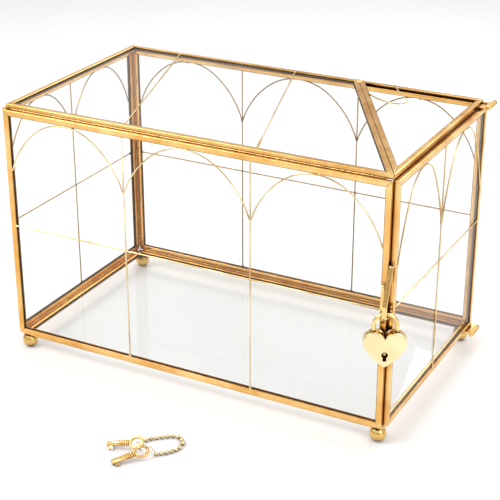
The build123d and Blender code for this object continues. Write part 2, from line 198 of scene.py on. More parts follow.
def make_materials():
    """One material for each slot of the record, by slot name."""
    along = (0.05, 1, 1)
    return {
        "clear_glass": clear_glass("clear_glass"),
        "brass_came": gilt("brass_came", (0.72, 0.36, 0.085), (0.94, 0.62, 0.25), 0.08, 0.20, 38.0, along),
        # the wires' painted shade in grooves and corners is a lighter brown than the cames'
        "brass_wire": gilt("brass_wire", (0.58, 0.38, 0.16), (0.98, 0.84, 0.54), 0.14, 0.28, 42.0,
                           groove=(0.4, 0.24, 0.08)),
        "gilt_solder": gilt("gilt_solder", (0.60, 0.38, 0.13), (0.88, 0.62, 0.28), 0.14, 0.38, 300.0,
                            dents=0.6),
        "brass_fitting": gilt("brass_fitting", (0.80, 0.50, 0.17), (0.93, 0.66, 0.28), 0.12, 0.26, 160.0),
        "polished_ball": gilt("polished_ball", (0.66, 0.42, 0.12), (0.86, 0.60, 0.22), 0.05, 0.12, 90.0),
        "padlock_gold": gilt("padlock_gold", (0.86, 0.70, 0.38), (0.93, 0.79, 0.48), 0.14, 0.22, 70.0,
                             (1, 1, 0.12), 700.0, 0.06),
        "shackle_brass": gilt("shackle_brass", (0.86, 0.58, 0.24), (0.94, 0.70, 0.34), 0.07, 0.16, 90.0),
        "key_brass": gilt("key_brass", (0.72, 0.42, 0.12), (0.95, 0.68, 0.28), 0.07, 0.16, 200.0),
        "chain_brass": gilt("chain_brass", (0.58, 0.44, 0.20), (0.90, 0.76, 0.46), 0.06, 0.16, 300.0),
    }


def dress_cad_nodes(materials):
    """Every CAD node gets the material of its record slot."""
    slots = {part["node"]: part["material_slot"] for part in frame["record"]["subparts"]}
    for name, node in NODES.items():
        node.data.materials.clear()
        node.data.materials.append(materials[slots[name]])


# ---------------------------------------------------------------- stage, light and camera

FLOOR_SOLID = 0.55      # the floor fades out between these distances, in metres
FLOOR_END = 1.25


def make_floor():
    """A white floor that fades out with distance from the box."""
    half = 2 * FLOOR_END
    mesh = bpy.data.meshes.new("floor")
    corners = [(-half, -half, 0), (half, -half, 0), (half, half, 0), (-half, half, 0)]
    mesh.from_pydata(corners, [], [(0, 1, 2, 3)])
    floor = bpy.data.objects.new("floor", mesh)
    bpy.context.scene.collection.objects.link(floor)
    material, tree, output = new_material("floor_white")
    shader = tree.nodes.new("ShaderNodeBsdfPrincipled")
    shader.inputs["Base Color"].default_value = (0.93, 0.93, 0.93, 1)
    shader.inputs["Roughness"].default_value = 0.6
    distance = tree.nodes.new("ShaderNodeVectorMath")
    distance.operation = "LENGTH"
    tree.links.new(object_coordinates(tree, (1, 1, 1)), distance.inputs[0])
    fade = value_range(tree, distance.outputs["Value"], 0.0, 1.0, FLOOR_SOLID, FLOOR_END)
    clear = tree.nodes.new("ShaderNodeBsdfTransparent")
    mix = tree.nodes.new("ShaderNodeMixShader")
    tree.links.new(fade, mix.inputs["Fac"])
    tree.links.new(shader.outputs["BSDF"], mix.inputs[1])
    tree.links.new(clear.outputs["BSDF"], mix.inputs[2])
    tree.links.new(mix.outputs["Shader"], output.inputs["Surface"])
    mesh.materials.append(material)


def make_world():
    """A white room for light and view; mirrors see a studio with bright panels between darker walls."""
    world = bpy.data.worlds.new("studio")
    bpy.context.scene.world = world
    world.use_nodes = True
    tree = world.node_tree
    tree.nodes.clear()
    coordinates = tree.nodes.new("ShaderNodeTexCoord")
    split = tree.nodes.new("ShaderNodeSeparateXYZ")
    tree.links.new(coordinates.outputs["Generated"], split.inputs["Vector"])
    height = ramp(tree, split.outputs["Z"], [(0.0, (0.62, 0.60, 0.58)), (0.10, (0.26, 0.19, 0.12)),
                                              (0.30, (0.62, 0.56, 0.48)), (0.52, (1.0, 1.0, 1.0)),
                                              (0.80, (1.25, 1.25, 1.25)), (1.0, (0.75, 0.74, 0.72))])
    wave = tree.nodes.new("ShaderNodeTexWave")
    wave.inputs["Scale"].default_value = 0.9
    wave.inputs["Distortion"].default_value = 1.5
    wave.inputs["Detail"].default_value = 0.0
    tree.links.new(coordinates.outputs["Generated"], wave.inputs["Vector"])
    panels = ramp(tree, wave.outputs["Fac"], [(0.30, (0.14, 0.09, 0.04)), (0.55, (1.0, 1.0, 1.0))])
    room = tree.nodes.new("ShaderNodeMix")
    room.data_type = "RGBA"
    room.blend_type = "SCREEN"
    room.inputs["Factor"].default_value = 0.75
    tree.links.new(height, room.inputs["A"])
    tree.links.new(panels, room.inputs["B"])
    mirror_view = tree.nodes.new("ShaderNodeBackground")
    tree.links.new(room.outputs["Result"], mirror_view.inputs["Color"])
    white = tree.nodes.new("ShaderNodeBackground")
    white.inputs["Color"].default_value = (1, 1, 1, 1)
    white.inputs["Strength"].default_value = 0.85
    path = tree.nodes.new("ShaderNodeLightPath")
    mix = tree.nodes.new("ShaderNodeMixShader")
    output = tree.nodes.new("ShaderNodeOutputWorld")
    tree.links.new(path.outputs["Is Glossy Ray"], mix.inputs["Fac"])
    tree.links.new(white.outputs["Background"], mix.inputs[1])
    tree.links.new(mirror_view.outputs["Background"], mix.inputs[2])
    tree.links.new(mix.outputs["Shader"], output.inputs["Surface"])


def area_light(name, place, target, size, power, colour=(1, 1, 1)):
    light = bpy.data.lights.new(name, "AREA")
    light.shape = "RECTANGLE"
    light.size, light.size_y = size
    light.energy = power
    light.color = colour
    lamp = bpy.data.objects.new(name, light)
    bpy.context.scene.collection.objects.link(lamp)
    lamp.location = place
    lamp.rotation_mode = "QUATERNION"
    lamp.rotation_quaternion = (Vector(target) - Vector(place)).to_track_quat("-Z", "Y")


def make_lights():
    area_light("key", (-1.1, -0.9, 1.5), (0, 0, 0.1), (1.0, 1.0), 16.0, (1, 0.99, 0.97))
    area_light("fill", (1.5, -0.7, 0.9), (0, 0, 0.1), (0.7, 1.1), 7.0)
    area_light("back", (0.2, 1.4, 1.2), (0, 0, 0.1), (1.4, 0.6), 9.0)


def make_camera():
    data = bpy.data.cameras.new("camera")
    data.lens = CAMERA_LENS
    data.sensor_width = SENSOR
    camera = bpy.data.objects.new("camera", data)
    bpy.context.scene.collection.objects.link(camera)
    a, e = radians(CAMERA_AZIMUTH), radians(CAMERA_ELEVATION)
    back = Vector((sin(a) * cos(e), -cos(a) * cos(e), sin(e)))
    camera.location = CAMERA_PLACE
    camera.rotation_mode = "QUATERNION"
    camera.rotation_quaternion = (-back).to_track_quat("-Z", "Y")
    data.clip_start, data.clip_end = 0.05, 20.0
    bpy.context.scene.camera = camera
    bpy.context.scene.view_settings.view_transform = "Standard"


# ---------------------------------------------------------------- mesh helpers

def piece_from(name, bm, body, slot_name, smooth=True):
    """Turn a bmesh into a piece that rides on a body and takes a slot's finish."""
    bmesh.ops.recalc_face_normals(bm, faces=bm.faces)
    mesh = bpy.data.meshes.new(name)
    bm.to_mesh(mesh)
    bm.free()
    for face in mesh.polygons:
        face.use_smooth = smooth
    piece = bpy.data.objects.new(name, mesh)
    bpy.context.scene.collection.objects.link(piece)
    mesh.materials.append(materials[slot_name])
    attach(piece, body)
    return piece


def side_axes(direction):
    """Two unit vectors square to a direction."""
    direction = direction.normalized()
    helper = Vector((0, 0, 1)) if abs(direction.z) < 0.9 else Vector((1, 0, 0))
    first = direction.cross(helper).normalized()
    return first, direction.cross(first)


def tube(bm, points, radii, sides=12, closed=False):
    """A round tube along points, with one radius for each point."""
    rings = []
    count = len(points)
    first, second = side_axes(points[1] - points[0])
    for index, point in enumerate(points):
        ahead = points[(index + 1) % count] if closed or index + 1 < count else point
        behind = points[index - 1] if closed or index > 0 else point
        direction = (ahead - behind).normalized()
        first = (first - direction * first.dot(direction)).normalized()
        second = direction.cross(first)
        ring = []
        for step in range(sides):
            angle = 2 * pi * step / sides
            ring.append(bm.verts.new(point + (first * cos(angle) + second * sin(angle)) * radii[index]))
        rings.append(ring)
    pairs = list(zip(rings, rings[1:]))
    if closed:
        pairs.append((rings[-1], rings[0]))
    for ring, after in pairs:
        for step in range(sides):
            following = (step + 1) % sides
            bm.faces.new((ring[step], ring[following], after[following], after[step]))
    if not closed:
        bm.faces.new(rings[0])
        bm.faces.new(rings[-1])


def turned(bm, start, direction, profile, sides=24):
    """A turned shape: (distance, radius) pairs along an axis; a radius of 0 closes an end."""
    first, second = side_axes(direction)
    direction = direction.normalized()
    rings = []
    for distance, radius in profile:
        middle = start + direction * distance
        if radius == 0:
            rings.append([bm.verts.new(middle)])
            continue
        ring = []
        for step in range(sides):
            angle = 2 * pi * step / sides
            ring.append(bm.verts.new(middle + (first * cos(angle) + second * sin(angle)) * radius))
        rings.append(ring)
    for ring, after in zip(rings, rings[1:]):
        for step in range(sides):
            following = (step + 1) % sides
            corners = [ring[step % len(ring)], ring[following % len(ring)],
                       after[following % len(after)], after[step % len(after)]]
            unique = list(dict.fromkeys(corners))
            if len(unique) > 2:
                bm.faces.new(unique)


def drop(bm, centre, along, out, length, width, height, seed):
    """A drop of solder: a flattened, slightly lumpy ball, longer along one direction."""
    made = bmesh.ops.create_icosphere(bm, subdivisions=3, radius=1.0)
    across = out.cross(along).normalized()
    for vertex in made["verts"]:
        place = vertex.co.copy()
        lump = 1 + 0.16 * noise.noise(place * 1.3 + Vector((seed * 7.1, seed * 3.7, seed)))
        place *= lump
        vertex.co = centre + along * place.x * length + across * place.y * width + out * place.z * height


# ---------------------------------------------------------------- faces of the box

ARCH_DROPS = {"front": 46 * MM, "back": 46 * MM, "left": 44 * MM, "door": 61 * MM}
BAYS = {"front": 3, "back": 3, "left": 2, "door": 2}
GLASS_DEPTH = 0.8 * MM          # the glass lies this far under the came's face

# Sizes of the drops of solder on a pane's wires, in mm
FOOT_DROP, END_FOOT_DROP = 1.5, 1.1             # at an arch's foot, within the pane and at its side
CROSSING_DROP, LEVEL_END_DROP = 0.95, 1.3       # on the level wire, at a crossing and at its end
UPRIGHT_BOTTOM_DROP, UPRIGHT_TOP_DROP = 1.3, 1.2
CROWN_DROP = 1.3
DROP_HEIGHT = 0.62
DROP_SHIFT = 0.2                                # how far a drop strays from its place

# The thin bead of solder across a mitred corner
MITRE_SHARE = 0.62              # its half length, as a share of the came's lip
MITRE_HEIGHT = 0.16 * MM


class Face:
    """An upright pane: its origin, at the lower left seen from outside, and its three directions."""

    def __init__(self, side, across, out):
        self.side = side
        self.body = "door" if side == "door" else "case"
        self.across, self.up, self.out = Vector(across), Vector((0, 0, 1)), Vector(out)
        low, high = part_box(f"came_{side}_bottom")
        top_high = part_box(f"came_{side}_top")[1]
        self.lip = high[2] - low[2]
        corners = [Vector(low), Vector((high[0], high[1], top_high[2]))]
        start = [min(c.dot(self.across) for c in corners), low[2], max(c.dot(self.out) for c in corners)]
        self.width = max(c.dot(self.across) for c in corners) - start[0]
        self.height = top_high[2] - low[2]
        self.origin = self.across * start[0] + self.up * start[1] + self.out * start[2]

    def point(self, along, up, out=0.0):
        return self.origin + self.across * along + self.up * up + self.out * out


def make_faces():
    return [Face("front", (1, 0, 0), (0, -1, 0)), Face("back", (-1, 0, 0), (0, 1, 0)),
            Face("left", (0, -1, 0), (-1, 0, 0)), Face("door", (0, 1, 0), (1, 0, 0))]


def face_solder(face, rng):
    """Solder where wires cross, meet an arch's foot or crown, or end at a came."""
    bm = bmesh.new()
    bays = BAYS[face.side]
    bay = face.width / bays
    lip, level = face.lip, -GLASS_DEPTH + 0.35 * MM
    foot = face.height - ARCH_DROPS[face.side]
    spots = []
    for index in range(bays + 1):
        x = min(max(index * bay, lip), face.width - lip)
        inner = 0 < index < bays
        spots.append((x, foot, face.up, FOOT_DROP if inner else END_FOOT_DROP))
        spots.append((x, face.height / 2, face.across, CROSSING_DROP if inner else LEVEL_END_DROP))
        if inner:
            spots.append((x, lip, face.up, UPRIGHT_BOTTOM_DROP))
            spots.append((x, face.height - lip, face.up, UPRIGHT_TOP_DROP))
    for index in range(bays):
        spots.append(((index + 0.5) * bay, face.height - lip - 0.4 * MM, face.across, CROWN_DROP))
    for x, up, along, size in spots:
        size *= rng.uniform(0.8, 1.2) * MM
        x += rng.uniform(-DROP_SHIFT, DROP_SHIFT) * MM
        up += rng.uniform(-DROP_SHIFT, DROP_SHIFT) * MM
        centre = face.point(x, up, level)
        length = size * rng.uniform(1.0, 1.4)
        drop(bm, centre, along, face.out, length, size * 0.8, DROP_HEIGHT * MM, rng.random())
    piece_from(f"solder_spots_{face.side}", bm, face.body, "gilt_solder")


def mitre_solder(face, rng):
    """A low bead of solder across each mitred corner of a pane's frame."""
    bm = bmesh.new()
    lip = face.lip
    for x, x_sign in ((0, 1), (face.width, -1)):
        for up, up_sign in ((0, 1), (face.height, -1)):
            middle = face.point(x + x_sign * lip / 2, up + up_sign * lip / 2, 0.0)
            along = (face.across * x_sign + face.up * up_sign).normalized()
            width = rng.uniform(0.5, 0.8) * MM
            drop(bm, middle, along, face.out, lip * MITRE_SHARE, width, MITRE_HEIGHT, rng.random())
    piece_from(f"solder_mitres_{face.side}", bm, face.body, "gilt_solder")


def wavy_bead(bm, start, end, radius, seed, step=2.5 * MM):
    """An uneven run of solder along a groove."""
    count = max(4, int((end - start).length / step))
    points, radii = [], []
    for index in range(count + 1):
        share = index / count
        swell = noise.noise(Vector((share * count * 0.23, seed * 5.3, 0)))
        ripple = noise.noise(Vector((share * count * 0.9, seed * 9.1, 4)))
        points.append(start.lerp(end, share))
        radii.append(radius * (1 + 0.35 * swell + 0.18 * ripple))
    radii[0] = radii[-1] = radius * 0.4
    tube(bm, points, radii, sides=10)


SEAM_LEG = 1.3 * MM             # how far the plain fillets reach out of the grooves' corners
SEAM_END = 3 * MM               # each bead stops this far from its groove's end
BEAD_SIZE = 0.6 * MM
SEED_STEP = 1.7


def groove_solder():
    """Uneven solder in the grooves between the case's panes, in place of the plain fillets."""
    bm = bmesh.new()
    low, high = (Vector(corner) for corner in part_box("solder_seams"))
    inner_low = Vector((low.x + SEAM_LEG, low.y + SEAM_LEG, low.z + SEAM_LEG))
    inner_high = Vector((high.x, high.y - SEAM_LEG, high.z - SEAM_LEG))
    end = SEAM_END
    offset = 0.25 * SEAM_LEG
    seed = 0.0
    for z, z_out in ((inner_low.z, -offset), (inner_high.z, offset)):
        for y, y_out in ((inner_low.y, -offset), (inner_high.y, offset)):
            seed += SEED_STEP
            start = Vector((inner_low.x + end, y + y_out, z + z_out))
            wavy_bead(bm, start, Vector((inner_high.x - end, y + y_out, z + z_out)), BEAD_SIZE, seed)
        seed += SEED_STEP
        start = Vector((inner_low.x - offset, inner_low.y + end, z + z_out))
        wavy_bead(bm, start, Vector((inner_low.x - offset, inner_high.y - end, z + z_out)), BEAD_SIZE, seed)
    for y, y_out in ((inner_low.y, -offset), (inner_high.y, offset)):
        seed += SEED_STEP
        start = Vector((inner_low.x - offset, y + y_out, inner_low.z + end))
        wavy_bead(bm, start, Vector((inner_low.x - offset, y + y_out, inner_high.z - end)), BEAD_SIZE, seed)
    piece = piece_from("groove_solder", bm, "case", "gilt_solder")
    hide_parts("solder_seams")


def top_solder(rng):
    """Solder at the corners of the top, at both ends of the diagonal and at the ends of the top wires."""
    bm = bmesh.new()
    up = Vector((0, 0, 1))
    low, high = (Vector(corner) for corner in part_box("came_top_front"))
    slot_low, slot_high = (Vector(corner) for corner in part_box("came_slot_back"))
    lip = high.y - low.y
    back_y = slot_high.y
    top = high.z
    right = high.x
    half_lip = lip / 2
    corner_spots = [((low.x + half_lip, low.y + half_lip), (1, 1, 0)),
                    ((low.x + half_lip, back_y - half_lip), (1, -1, 0)),
                    ((right - half_lip, back_y - half_lip), (1, 1, 0)),
                    ((right - lip, low.y + half_lip), (-1, 1, 0))]
    for (x, y), way in corner_spots:
        along = Vector(way).normalized()
        drop(bm, Vector((x, y, top)), along, up, lip * MITRE_SHARE, 0.7 * MM, MITRE_HEIGHT, rng.random())
    joint = Vector((slot_low.x + lip * 0.3, back_y - lip * 0.7, top))
    drop(bm, joint, Vector((0.5, -0.86, 0)), up, 4.6 * MM, 3.0 * MM, 0.45 * MM, rng.random())
    beside = joint + Vector((2.5, 2.0, 0)) * MM
    drop(bm, beside, Vector((1, 0, 0)), up, 3.0 * MM, 1.6 * MM, 0.4 * MM, rng.random())
    wires_low, wires_high = (Vector(corner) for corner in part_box("wires_top"))
    level = top - GLASS_DEPTH + 0.3 * MM
    for front_x, back_x in TOP_WIRES:
        for x, y in ((front_x, wires_low.y), (back_x, wires_high.y)):
            size = rng.uniform(1.1, 1.5) * MM
            drop(bm, Vector((x, y, level)), Vector((0, 1, 0)), up, size * 1.3, size, 0.6 * MM, rng.random())
    piece_from("solder_top", bm, "case", "gilt_solder")



def twisted_wire(name, body, start, end, turns, strand=0.42 * MM, spread=0.5 * MM):
    """Two thin strands twisted round a wire, where it was tied off."""
    bm = bmesh.new()
    direction = end - start
    first, second = side_axes(direction)
    steps = turns * 12
    for half_turn in (0.0, pi):
        points = []
        for step in range(steps + 1):
            angle = 2 * pi * turns * step / steps + half_turn
            middle = start.lerp(end, step / steps)
            points.append(middle + (first * cos(angle) + second * sin(angle)) * spread)
        tube(bm, points, [strand] * len(points), sides=8)
    return piece_from(name, bm, body, "brass_wire")


TIE_LENGTH = 20 * MM            # of the front's twisted end
TIE_GAP = 1 * MM                # between it and the came


def tied_wires(faces):
    """The ties at the right end of the front's level wire and at the front of the second top wire."""
    front = faces[0]
    level = -GLASS_DEPTH + 0.55 * MM
    mid = front.height / 2
    far = front.width - front.lip - TIE_GAP
    start, end = front.point(far - TIE_LENGTH, mid, level), front.point(far, mid, level)
    twisted_wire("wire_tie_front", "case", start, end, turns=9)
    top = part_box("came_top_front")[1][2] + level
    low, high = (Vector(corner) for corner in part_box("wires_top"))
    front_x, back_x = TOP_WIRES[1]
    front_end = Vector((front_x, low.y, top))
    back_end = Vector((back_x, high.y, top))
    start, end = front_end.lerp(back_end, 0.01), front_end.lerp(back_end, 0.09)
    twisted_wire("wire_tie_top", "case", start, end, turns=6)


# ---------------------------------------------------------------- fittings

ROLL_RADIUS = 1.6 * MM
RIB_PITCH = 2.1                 # the ribs' sizes are in mm
RIB_LOW, RIB_HIGH = 1.62, 2.05  # radius between the ribs and on them
CAP_OVERHANG = 0.6              # how far each cap stands past the plate


def hinge_coils():
    """Heavy ribs round the rolled edge of each hinge plate, and a rounded cap at each end."""
    for name in ("top", "bottom"):
        low, high = (Vector(corner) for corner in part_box(f"hinge_plate_{name}"))
        x = high.x - ROLL_RADIUS
        z = low.z + ROLL_RADIUS if name == "top" else high.z - ROLL_RADIUS
        bm = bmesh.new()
        profile = [(0, 0), (0, 1.2), (0.3, 1.75), (0.9, 1.95)]
        distance = 1.3
        length = (high.y - low.y) / MM + 2 * CAP_OVERHANG
        while distance < length - 2.4:
            profile += [(distance, RIB_LOW), (distance + 0.25, RIB_LOW), (distance + 0.7, RIB_HIGH),
                        (distance + 1.3, RIB_HIGH), (distance + 1.75, RIB_LOW)]
            distance += RIB_PITCH
        profile += [(length - 0.9, 1.95), (length - 0.3, 1.75), (length, 1.2), (length, 0)]
        start = Vector((x, low.y - CAP_OVERHANG * MM, z))
        turned(bm, start, Vector((0, 1, 0)), [(along * MM, radius * MM) for along, radius in profile])
        piece_from(f"hinge_roll_{name}", bm, "case", "brass_fitting")


REBATE_WIDTH = 1.3 * MM         # how far each strip reaches behind the case's frame
REBATE_THICKNESS = 0.5 * MM
REBATE_CLEARANCE = 0.1 * MM     # in from the door's outer edges
REBATE_OVERLAP = 0.3 * MM       # into the door's frame
REBATE_HINGE_END = 4 * MM       # the upper strip stops this far from the hinge stile's edge


def door_rebates():
    """Thin strips on the door, behind the case's frame, that close the gaps at its lock edge and top."""
    low, high = (Vector(corner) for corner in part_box("came_door_lock_stile"))
    y = low.y + REBATE_CLEARANCE
    upright = (Vector((low.x - REBATE_WIDTH, y, low.z + REBATE_CLEARANCE)),
               Vector((low.x + REBATE_OVERLAP, y + REBATE_THICKNESS, high.z - REBATE_CLEARANCE)))
    low, high = (Vector(corner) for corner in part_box("came_door_top"))
    z = high.z - REBATE_CLEARANCE
    level = (Vector((low.x - REBATE_WIDTH, low.y + REBATE_CLEARANCE, z - REBATE_THICKNESS)),
             Vector((low.x + REBATE_OVERLAP, high.y - REBATE_HINGE_END, z)))
    bm = bmesh.new()
    for low, high in (upright, level):
        size = high - low
        place = Matrix.Translation((low + high) / 2) @ Matrix.Diagonal((size.x, size.y, size.z, 1))
        bmesh.ops.create_cube(bm, size=1, matrix=place)
    piece_from("door_rebates", bm, "door", "brass_came", smooth=False)


def staple_solder(rng):
    """Solder at the roots of both staples."""
    for node, body in (("case_staple", "case"), ("door_staple", "door")):
        low, high = (Vector(corner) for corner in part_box(node))
        bm = bmesh.new()
        x = (low.x + high.x) / 2
        for z in (low.z + 0.8 * MM, high.z - 0.8 * MM):
            size = rng.uniform(1.3, 1.6) * MM
            root = Vector((x, high.y, z))
            up, out = Vector((0, 0, 1)), Vector((0, -1, 0))
            drop(bm, root, up, out, size * 1.5, size, 0.9 * MM, rng.random())
        piece_from(f"solder_{node}", bm, body, "gilt_solder")


# ---------------------------------------------------------------- padlock

SHACKLE_RADIUS = 7.75 * MM
LOBE_RADIUS = 7.65 * MM
LOBE_CENTRE = 7.05 * MM
HEART_TIP = Vector((0, -18.1 * MM))
LOCK_TURN = radians(25)
PLATE = 1.2 * MM
CORE_HALF = 2.9 * MM
KEYHOLE_UP = -8.5 * MM
KEYHOLE_RADIUS = 2.2 * MM
KEYHOLE_SLOT = 2.5 * MM
KEYHOLE_LENGTH = 4.7 * MM
KEYHOLE_DEPTH = 5 * MM
SOCKET_RADIUS = 2.15 * MM       # of the recess round each leg of the shackle
SOCKET_DEPTH = 5.0 * MM
SOCKET_START = 2 * MM           # above the lobes


def heart_outline(steps=26):
    """Points round the heart, anticlockwise from its tip."""
    lean = radians(30)
    side = Vector((LOBE_CENTRE + LOBE_RADIUS * cos(lean), -LOBE_RADIUS * sin(lean)))
    tangent = Vector((-sin(lean), -cos(lean)))
    inward = Vector((tangent.y, -tangent.x))
    chord = HEART_TIP - side
    radius = chord.length_squared / (2 * chord.dot(inward))
    centre = side + inward * radius
    start = atan2(side.y - centre.y, side.x - centre.x)
    finish = atan2(HEART_TIP.y - centre.y, HEART_TIP.x - centre.x)
    right = []
    for step in range(steps):
        angle = finish + (start - finish) * step / steps
        right.append(Vector((centre.x + radius * cos(angle), centre.y + radius * sin(angle))))
    notch = atan2(sqrt(LOBE_RADIUS ** 2 - LOBE_CENTRE ** 2), -LOBE_CENTRE)
    for step in range(2 * steps + 1):
        angle = -lean + (notch + lean) * step / (2 * steps)
        right.append(Vector((LOBE_CENTRE + LOBE_RADIUS * cos(angle), LOBE_RADIUS * sin(angle))))
    left = [Vector((-point.x, point.y)) for point in reversed(right[1:-1])]
    return right + left


def lock_frame():
    """The padlock's across, up and out directions, and the point between its lobes."""
    low, high = (Vector(corner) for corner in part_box("padlock_core"))
    across = Vector((cos(LOCK_TURN), sin(LOCK_TURN), 0))
    out = Vector((sin(LOCK_TURN), -cos(LOCK_TURN), 0))
    middle = (low + high) / 2
    return Vector((middle.x, middle.y, high.z - LOBE_RADIUS)), across, Vector((0, 0, 1)), out


def heart_rings(bm, layers, outline, place):
    """Stacked heart outlines, each (share of full size, depth), joined into one closed shape."""
    centre = Vector((0, -4.5 * MM))         # the outlines shrink towards this point
    rings = []
    for share, depth in layers:
        rings.append([bm.verts.new(place(centre + (point - centre) * share, depth)) for point in outline])
    for ring, after in zip(rings, rings[1:]):
        for index in range(len(ring)):
            following = (index + 1) % len(ring)
            bm.faces.new((ring[index], ring[following], after[following], after[index]))
    bm.faces.new(rings[0])
    bm.faces.new(rings[-1])


def lock_place(point, depth):
    """A point of the padlock's face, and how far in front of the middle of its body, in the box's frame."""
    origin, across, up, out = lock_frame()
    return origin + across * point.x + up * point.y + out * depth


def heart_plate(name, out_sign, node, keyhole):
    """A heart cover with a rounded rim and a faint crown; the front one is cut by the keyhole."""
    layers = [(1.0, 0.0), (1.0, 0.62), (0.994, 0.82), (0.978, 0.95), (0.955, 1.0), (0.85, 1.1), (0.68, 1.2),
              (0.48, 1.27), (0.26, 1.3)]
    bm = bmesh.new()
    depths = [(share, out_sign * (CORE_HALF + PLATE * rise)) for share, rise in layers]
    heart_rings(bm, depths, heart_outline(), lock_place)
    piece = piece_from(name, bm, "lock_body", "padlock_gold")
    if keyhole:
        cut_away(piece, [keyhole_cutter(CORE_HALF - PLATE, CORE_HALF + 3 * PLATE)])
    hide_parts(node)


def heart_core():
    """The body between the covers, a little smaller than they are, with sockets for the shackle's legs."""
    step = 0.965
    bm = bmesh.new()
    layers = [(1.0, -1.0), (1.0, -0.86), (step, -0.80), (step, 0.80), (1.0, 0.86), (1.0, 1.0)]
    heart_rings(bm, [(share, depth * CORE_HALF) for share, depth in layers], heart_outline(), lock_place)
    piece = piece_from("padlock_middle", bm, "lock_body", "padlock_gold")
    cutters = [keyhole_cutter(CORE_HALF - KEYHOLE_DEPTH, CORE_HALF + PLATE)]
    profile = [(0, 0), (0, SOCKET_RADIUS), (SOCKET_DEPTH, SOCKET_RADIUS), (SOCKET_DEPTH, 0)]
    for side in (-1, 1):
        socket = bmesh.new()
        top = lock_place(Vector((side * SHACKLE_RADIUS, LOBE_RADIUS + SOCKET_START)), 0.0)
        turned(socket, top, Vector((0, 0, -1)), profile)
        cutters.append(socket)
    cut_away(piece, cutters)
    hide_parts("padlock_core")


def keyhole_cutter(near, far):
    """A keyhole-shaped prism between two depths: a round hole with a slot below it."""
    half_slot = KEYHOLE_SLOT / 2
    mouth = sqrt(KEYHOLE_RADIUS ** 2 - half_slot ** 2)
    start = atan2(-mouth, half_slot)
    sweep = 2 * pi - 2 * (start + pi / 2)
    outline = []
    for step in range(33):
        angle = start + sweep * step / 32
        outline.append(Vector((KEYHOLE_RADIUS * cos(angle), KEYHOLE_UP + KEYHOLE_RADIUS * sin(angle))))
    outline.append(Vector((-half_slot, KEYHOLE_UP - KEYHOLE_LENGTH)))
    outline.append(Vector((half_slot, KEYHOLE_UP - KEYHOLE_LENGTH)))
    bm = bmesh.new()
    ends = [[bm.verts.new(lock_place(point, depth)) for point in outline] for depth in (near, far)]
    for index in range(len(outline)):
        following = (index + 1) % len(outline)
        bm.faces.new((ends[0][index], ends[0][following], ends[1][following], ends[1][index]))
    bm.faces.new(ends[0])
    bm.faces.new(ends[1])
    return bm


def cut_away(piece, cutters):
    """Cut closed shapes out of a piece, and keep its remaining edges crisp."""
    for bm in cutters:
        bmesh.ops.recalc_face_normals(bm, faces=bm.faces)
        mesh = bpy.data.meshes.new("cutter")
        bm.to_mesh(mesh)
        bm.free()
        cutter = bpy.data.objects.new("cutter", mesh)
        bpy.context.scene.collection.objects.link(cutter)
        cut = piece.modifiers.new("cut", "BOOLEAN")
        cut.operation = "DIFFERENCE"
        cut.solver = "EXACT"
        cut.object = cutter
        graph = bpy.context.evaluated_depsgraph_get()
        result = bpy.data.meshes.new_from_object(piece.evaluated_get(graph))
        piece.modifiers.clear()
        piece.data = result
        bpy.data.objects.remove(cutter)
    edges = piece.modifiers.new("edges", "EDGE_SPLIT")
    edges.split_angle = radians(38)


# ---------------------------------------------------------------- keys and chain

# Keys: the bow's centre in mm, then heading, tip down and roll in degrees
KEY_SPOTS = [((7.1, -174.0, 6.95), 194.0, 11.5, 38.0), ((14.5, -179.8, 5.35), 232.0, 8.0, 30.0)]
# Chain: places in mm, on the table for its two runs and with heights where it threads the bows
CHAIN_FIRST = [(6.5, -161.1), (8.7, -158.0), (14.4, -152.6), (20.9, -147.9), (24.6, -147.2)]
CHAIN_LAST = [(32.4, -158.6), (30.3, -163.8), (26.6, -169.0), (21.9, -172.8)]
CHAIN_THREAD = [(6.9, -166.0, 2.6), (7.1, -174.0, 6.9), (9.0, -175.6, 7.2), (11.0, -177.0, 6.2),
                (12.8, -178.3, 5.0), (14.5, -179.8, 6.2), (16.5, -177.4, 8.0), (19.0, -174.9, 7.4)]
CLASP = [(27.6, -148.2), (32.4, -154.4)]
CLASP_RADIUS = 1.7 * MM
BEAD_RADIUS = 1.5 * MM
BEAD_PITCH = 3.9 * MM
LINK_RADIUS = 0.36 * MM
BOW_LONG, BOW_SHORT = 4.7 * MM, 3.8 * MM        # half axes of a bow's centre line
BOW_WIRE = 1.0 * MM
BARREL_START = 5.2 * MM
# Profile of the barrel in mm: (distance from its start, radius), over its collars and round its hollow tip
COLLARS = [(0, 0), (0, 1.5), (0.4, 2.1), (1.0, 2.1), (1.3, 1.6), (1.7, 2.3), (2.3, 2.4), (2.8, 2.2),
           (3.1, 1.7), (3.5, 2.25), (4.1, 2.3), (4.5, 1.8), (4.9, 2.25), (5.5, 2.3), (5.9, 1.8), (6.4, 2.15),
           (6.9, 2.0)]
BARREL_TIP = [(15.0, 1.95), (15.4, 2.1), (16.1, 2.1), (16.3, 1.9), (16.3, 1.2), (9.0, 1.15), (9.0, 0)]
# The bit's blocks in mm: (near, far, reach), with a notch between the first two
BIT_BLOCKS = [(17.0, 18.2, 2.6), (18.8, 20.2, 2.2), (17.0, 20.2, 1.0)]
BIT_HALF = 0.6
BIT_ROOT = 1.6


